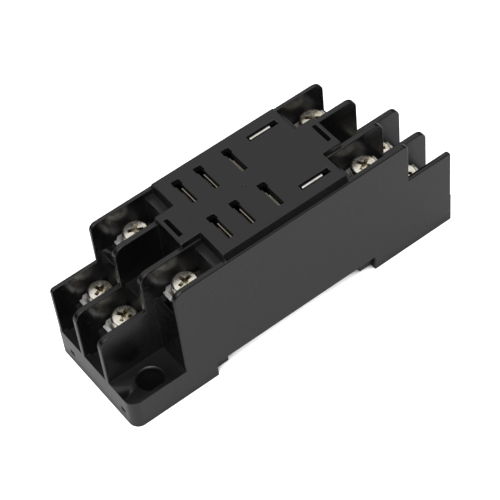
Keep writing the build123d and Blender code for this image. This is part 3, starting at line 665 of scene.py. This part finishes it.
# Each stop of the profile is a row of the grid, its radius and its height.
PROFILE = [(0, 0, -SHANK), (2, TIP_R, -SHANK), (4, SHANK_R, -SHANK + TIP), (110, SHANK_R, 0)]
PROFILE += [(112, HEAD_R - HEAD_FOOT, 0), (114, HEAD_R, HEAD_FOOT), (118, HEAD_R, RIM_TOP)]
for step in range(1, 7):
    lean = radians(12 * step)
    radius = HEAD_R - SHOULDER * (1 - cos(lean))
    PROFILE.append((118 + 4 * step, radius, RIM_TOP + SHOULDER * sin(lean)))
PROFILE.append((ROWS, 0, HEAD_TOP))

screw, given, end = new_geometry_group(
    "pan_head_screw",
    {"Pitch": 0.5, "Thread depth": 0.27, "Recess length": 2.9, "Recess width": 0.72,
     "Recess depth": 1.15, "Turn": 0.0, "Place": (0.0, 0.0, 0.0)},
)
sheet = add_node(
    screw, "GeometryNodeMeshGrid",
    {"Size X": 1.0, "Size Y": 1.0, "Vertices X": COLUMNS + 1, "Vertices Y": ROWS + 1},
)
spot = add_node(screw, "GeometryNodeInputPosition").outputs[0]
corner = add_node(screw, "ShaderNodeSeparateXYZ", {0: spot})
around = calc(screw, "MULTIPLY", calc(screw, "ADD", corner.outputs["X"], 0.5), 2 * pi)
along = calc(screw, "ADD", corner.outputs["Y"], 0.5)


def profile_curve(reach, base, span):
    """A Float Curve through the profile's rows, scaled back to millimetres."""
    node = add_node(screw, "ShaderNodeFloatCurve", {"Value": along})
    points = node.mapping.curves[0].points
    while len(points) < len(PROFILE):
        points.new(0.5, 0.5)
    for knot, (row, *place) in zip(points, PROFILE):
        knot.location = (row / ROWS, (place[reach] - base) / span)
        knot.handle_type = "VECTOR"
    node.mapping.update()
    return calc(screw, "MULTIPLY_ADD", node.outputs[0], span, base)


radius = profile_curve(0, 0, HEAD_R)
height = profile_curve(1, -SHANK, SHANK + HEAD_TOP)
climb = calc(screw, "DIVIDE", height, given["Pitch"])
wave = calc(screw, "SUBTRACT", climb, calc(screw, "DIVIDE", around, 2 * pi))
turns = calc(screw, "FRACT", wave)
valley = calc(screw, "ABSOLUTE", calc(screw, "SUBTRACT", calc(screw, "MULTIPLY", turns, 2.0), 1.0))
starts = spread(screw, height, *THREAD_STARTS)
stops = spread(screw, height, *THREAD_STOPS, 1.0, 0.0)
share = calc(screw, "MULTIPLY", starts, stops)
cut = calc(screw, "MULTIPLY", calc(screw, "MULTIPLY", valley, share), given["Thread depth"])
threaded = calc(screw, "SUBTRACT", radius, cut)
rolled = point(
    screw, X=calc(screw, "MULTIPLY", threaded, calc(screw, "COSINE", around)),
    Y=calc(screw, "MULTIPLY", threaded, calc(screw, "SINE", around)), Z=height,
)
turned = add_node(
    screw, "GeometryNodeSetPosition", {"Geometry": sheet.outputs[0], "Position": rolled},
)
closed = add_node(
    screw, "GeometryNodeMergeByDistance", {"Geometry": turned.outputs[0], "Distance": WELD},
)

blade_size = point(
    screw, X=given["Recess length"], Y=given["Recess width"], Z=given["Recess depth"],
)
blade = add_node(screw, "GeometryNodeMeshCube", {"Size": blade_size})
spot = add_node(screw, "GeometryNodeInputPosition").outputs[0]
blade_z = add_node(screw, "ShaderNodeSeparateXYZ", {0: spot}).outputs["Z"]
narrow = spread(screw, calc(screw, "LESS_THAN", blade_z, 0.0), 0.0, 1.0, 1.0, BLADE_TAPER)
pointed_spot = add_node(
    screw, "ShaderNodeVectorMath", {0: spot, 1: point(screw, X=narrow, Y=narrow, Z=1.0)},
    operation="MULTIPLY",
)
pointed = add_node(
    screw, "GeometryNodeSetPosition",
    {"Geometry": blade.outputs[0], "Position": pointed_spot.outputs[0]},
)
two_points = add_node(
    screw, "GeometryNodeMeshLine",
    {"Count": 2, "Start Location": (0, 0, HEAD_TOP + BLADE_OVER), "Offset": (0, 0, 0)},
)
number = add_node(screw, "GeometryNodeInputIndex").outputs[0]
quarter = point(screw, Z=calc(screw, "MULTIPLY", number, pi / 2))
blades = add_node(
    screw, "GeometryNodeInstanceOnPoints",
    {"Points": two_points.outputs[0], "Instance": pointed.outputs[0], "Rotation": quarter},
)
sunk = point(screw, Z=calc(screw, "MULTIPLY", given["Recess depth"], -0.5))
lowered = add_node(
    screw, "GeometryNodeTranslateInstances", {"Instances": blades.outputs[0], "Translation": sunk},
)
recessed = add_node(
    screw, "GeometryNodeMeshBoolean", {"Mesh 1": closed.outputs[0], "Mesh 2": lowered.outputs[0]},
    operation="DIFFERENCE", solver="EXACT",
)
settle(screw, end, given, recessed.outputs["Mesh"], SCREW)
print(f"group: {screw.name}, a grid of {ROWS} by {COLUMNS}")

# %% [markdown]
# ## Split spring washers
#
# The washer is an arc with a small rectangle swept along it. Turning its top face a little against
# its bottom face makes the split slant, the way the real one is cut.

# %% The washer's node group
WASHER_EDGE = 0.09

washer, given, end = new_geometry_group(
    "spring_washer",
    {"Outer radius": 2.6, "Inner radius": 1.58, "Thickness": 0.6, "Split": 0.17, "Slant": 0.12,
     "Turn": 0.0, "Place": (0.0, 0.0, 0.0)},
)
both_radii = calc(washer, "ADD", given["Outer radius"], given["Inner radius"])
ring_radius = calc(washer, "MULTIPLY", both_radii, 0.5)
ring_width = calc(washer, "SUBTRACT", given["Outer radius"], given["Inner radius"])
sweep = calc(washer, "SUBTRACT", 2 * pi, calc(washer, "MULTIPLY", given["Split"], 2.0))
ring = add_node(
    washer, "GeometryNodeCurveArc",
    {"Resolution": 72, "Radius": ring_radius, "Start Angle": given["Split"],
     "Sweep Angle": sweep},
)
section = add_node(
    washer, "GeometryNodeCurvePrimitiveQuadrilateral",
    {"Width": ring_width, "Height": given["Thickness"]},
)
soft_section = add_node(
    washer, "GeometryNodeFilletCurve", {"Curve": section.outputs[0], "Radius": WASHER_EDGE},
)
swept = add_node(
    washer, "GeometryNodeCurveToMesh",
    {"Curve": ring.outputs[0], "Profile Curve": soft_section.outputs[0], "Fill Caps": True},
)
spot = add_node(washer, "GeometryNodeInputPosition").outputs[0]
level = add_node(washer, "ShaderNodeSeparateXYZ", {0: spot}).outputs["Z"]
share = calc(washer, "DIVIDE", level, given["Thickness"])
lean = calc(washer, "MULTIPLY", share, calc(washer, "MULTIPLY", given["Slant"], 2.0))
slanted = add_node(
    washer, "ShaderNodeVectorRotate", {"Vector": spot, "Angle": lean}, rotation_type="Z_AXIS",
)
lift = point(washer, Z=calc(washer, "MULTIPLY", given["Thickness"], 0.5))
split = add_node(
    washer, "GeometryNodeSetPosition",
    {"Geometry": swept.outputs[0], "Position": slanted.outputs[0], "Offset": lift},
)
settle(washer, end, given, split.outputs[0], WASHER)
print(f"group: {washer.name}")

# %% [markdown]
# ## Clamp plates
#
# A clamp plate is pressed from strip: a square with a clearance hole, and a tab along one edge
# turned up so that the wire slides in under it. The plate is an outline filled round its hole and
# raised to its thickness. The tab is a bent line with a thin rectangle swept along it, and its
# sheared top edge is the small bright bar beside each screw in the photo.

# %% The clamp plate's node group
TAB_EDGE = 0.1

clamp, given, end = new_geometry_group(
    "clamp_plate",
    {"Half length": 2.8, "Half width": 2.7, "Thickness": 0.78, "Corner": 0.5, "Hole radius": 1.62,
     "Tab reach": 0.75, "Tab height": 1.14, "Tab width": 3.7, "Tab thickness": 0.74, "Turn": 0.0,
     "Place": (0.0, 0.0, 0.0)},
)
outline = add_node(
    clamp, "GeometryNodeCurvePrimitiveQuadrilateral",
    {"Width": calc(clamp, "MULTIPLY", given["Half length"], 2.0),
     "Height": calc(clamp, "MULTIPLY", given["Half width"], 2.0)},
)
soft_outline = add_node(
    clamp, "GeometryNodeFilletCurve", {"Curve": outline.outputs[0], "Radius": given["Corner"]},
)
hole = add_node(
    clamp, "GeometryNodeCurvePrimitiveCircle", {"Resolution": 40, "Radius": given["Hole radius"]},
)
rims = clamp.nodes.new("GeometryNodeJoinGeometry")
for source in (hole, soft_outline):
    clamp.links.new(source.outputs[0], rims.inputs[0])
sheet = add_node(clamp, "GeometryNodeFillCurve", {"Curve": rims.outputs[0]})
raised = add_node(
    clamp, "GeometryNodeExtrudeMesh",
    {"Mesh": sheet.outputs[0], "Offset Scale": given["Thickness"], "Individual": False},
)
under = add_node(clamp, "GeometryNodeFlipFaces", {"Mesh": sheet.outputs[0]})

half_thick = calc(clamp, "MULTIPLY", given["Thickness"], 0.5)
half_tab = calc(clamp, "MULTIPLY", given["Tab thickness"], 0.5)
tab_end = calc(clamp, "ADD", given["Half length"], given["Tab reach"])
tab_x = calc(clamp, "SUBTRACT", tab_end, half_tab)
foot = point(clamp, X=calc(clamp, "SUBTRACT", given["Half length"], half_tab), Z=half_thick)
knee = point(clamp, X=tab_x, Z=half_thick)
tip = point(clamp, X=tab_x, Z=given["Tab height"])
bend = add_node(
    clamp, "GeometryNodeCurveQuadraticBezier",
    {"Resolution": 12, "Start": foot, "Middle": knee, "End": tip},
)
strip = add_node(
    clamp, "GeometryNodeCurvePrimitiveQuadrilateral",
    {"Width": given["Tab width"], "Height": given["Tab thickness"]},
)
soft_strip = add_node(
    clamp, "GeometryNodeFilletCurve", {"Curve": strip.outputs[0], "Radius": TAB_EDGE},
)
tab = add_node(
    clamp, "GeometryNodeCurveToMesh",
    {"Curve": bend.outputs[0], "Profile Curve": soft_strip.outputs[0], "Fill Caps": True},
)
plate = clamp.nodes.new("GeometryNodeJoinGeometry")
for source in (raised, under, tab):
    clamp.links.new(source.outputs[0], plate.inputs[0])
sealed = add_node(
    clamp, "GeometryNodeMergeByDistance", {"Geometry": plate.outputs[0], "Distance": WELD},
)
settle(clamp, end, given, sealed.outputs[0], CLAMP)
print(f"group: {clamp.name}")

# %% [markdown]
# ## The latch's spring
#
# A compression spring has a coil or so lying flat at each end. A curve with many points is wound
# round the X axis, and a Float Curve spaces the coils: it rises slowly at both ends, where they
# touch, and evenly in between.

# %% The spring's node group
WIRE = 0.2
SPACING = ((0.12, 0.055), (0.88, 0.945))

coil, given, end = new_geometry_group(
    "latch_spring",
    {"Length": 7.0, "Coil radius": 0.8, "Wire radius": WIRE, "Coils": 9.0, "Points": 260,
     "Turn": 0.0, "Place": (0.0, 0.0, 0.0)},
)
line = add_node(coil, "GeometryNodeCurvePrimitiveLine", {"Start": (0, 0, 0), "End": (1, 0, 0)})
fine_line = add_node(
    coil, "GeometryNodeResampleCurve", {"Curve": line.outputs[0], "Count": given["Points"]},
)
progress = add_node(coil, "GeometryNodeSplineParameter").outputs["Factor"]
spacing = add_node(coil, "ShaderNodeFloatCurve", {"Value": progress})
knots = spacing.mapping.curves[0].points
for at, reached in SPACING:
    knots.new(at, reached)
for knot in knots:
    knot.handle_type = "VECTOR"
spacing.mapping.update()
winding = calc(coil, "MULTIPLY", progress, calc(coil, "MULTIPLY", given["Coils"], 2 * pi))
wound = point(
    coil, X=calc(coil, "MULTIPLY", spacing.outputs[0], given["Length"]),
    Y=calc(coil, "MULTIPLY", calc(coil, "COSINE", winding), given["Coil radius"]),
    Z=calc(coil, "MULTIPLY", calc(coil, "SINE", winding), given["Coil radius"]),
)
helix = add_node(
    coil, "GeometryNodeSetPosition", {"Geometry": fine_line.outputs[0], "Position": wound},
)
wire = add_node(
    coil, "GeometryNodeCurvePrimitiveCircle", {"Resolution": 12, "Radius": given["Wire radius"]},
)
drawn = add_node(
    coil, "GeometryNodeCurveToMesh",
    {"Curve": helix.outputs[0], "Profile Curve": wire.outputs[0], "Fill Caps": True},
)
settle(coil, end, given, drawn.outputs[0], SPRING)
print(f"group: {coil.name}")

# %% [markdown]
# ## Eight terminals
#
# The screws were run down by hand, so each stopped at its own angle, and its washer at another.
# Their places are read from the boxes of the CAD pieces that they stand for. Each clamp plate's
# tab points outwards, to the end where the wire comes in.

# %% Grow and place the screws, washers and clamp plates
SCREW_ANGLES = {1: 20, 2: 62, 3: 35, 4: 12, 5: 50, 6: 28, 7: 74, 8: 40}
WASHER_BEHIND = 100
for n, angle in SCREW_ANGLES.items():
    low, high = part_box(f"screw_{n}")
    neck = ((low.x + high.x) / 2, (low.y + high.y) / 2, low.z + SHANK * MM)
    piece = grow(f"screw_piece_{n}", screw, Turn=radians(angle), Place=neck)
    stand_for(piece, f"screw_{n}", f"screw_{n}")
    low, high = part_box(f"spring_washer_{n}")
    middle = ((low.x + high.x) / 2, (low.y + high.y) / 2, low.z)
    ring = grow(f"washer_piece_{n}", washer, Turn=radians(angle + WASHER_BEHIND), Place=middle)
    stand_for(ring, f"spring_washer_{n}", f"screw_{n}")
    clamp_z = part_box(f"clamp_plate_{n}")[0].z
    outward = 0.0 if neck[0] > 0 else pi
    plate = grow(f"clamp_piece_{n}", clamp, Turn=outward, Place=(neck[0], neck[1], clamp_z))
    stand_for(plate, f"clamp_plate_{n}", f"clamp_{n}")
    faces = [len(made.data.polygons) for made in (piece, ring, plate)]
    print(f"terminal {n}: screw {faces[0]} faces, washer {faces[1]}, clamp plate {faces[2]}")

# %% [markdown]
# ## The latch's spring in its place
#
# The spring is grown at its full length, with its outer end against the base, and it rides the
# root.

# %% Grow and place the spring
low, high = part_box("latch_spring")
spring_start = (low.x + WIRE * MM, (low.y + high.y) / 2, (low.z + high.z) / 2)
spring = grow("spring_piece", coil, Length=(high.x - low.x) / MM - 2 * WIRE, Place=spring_start)
stand_for(spring, "latch_spring", "root")
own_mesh(spring)
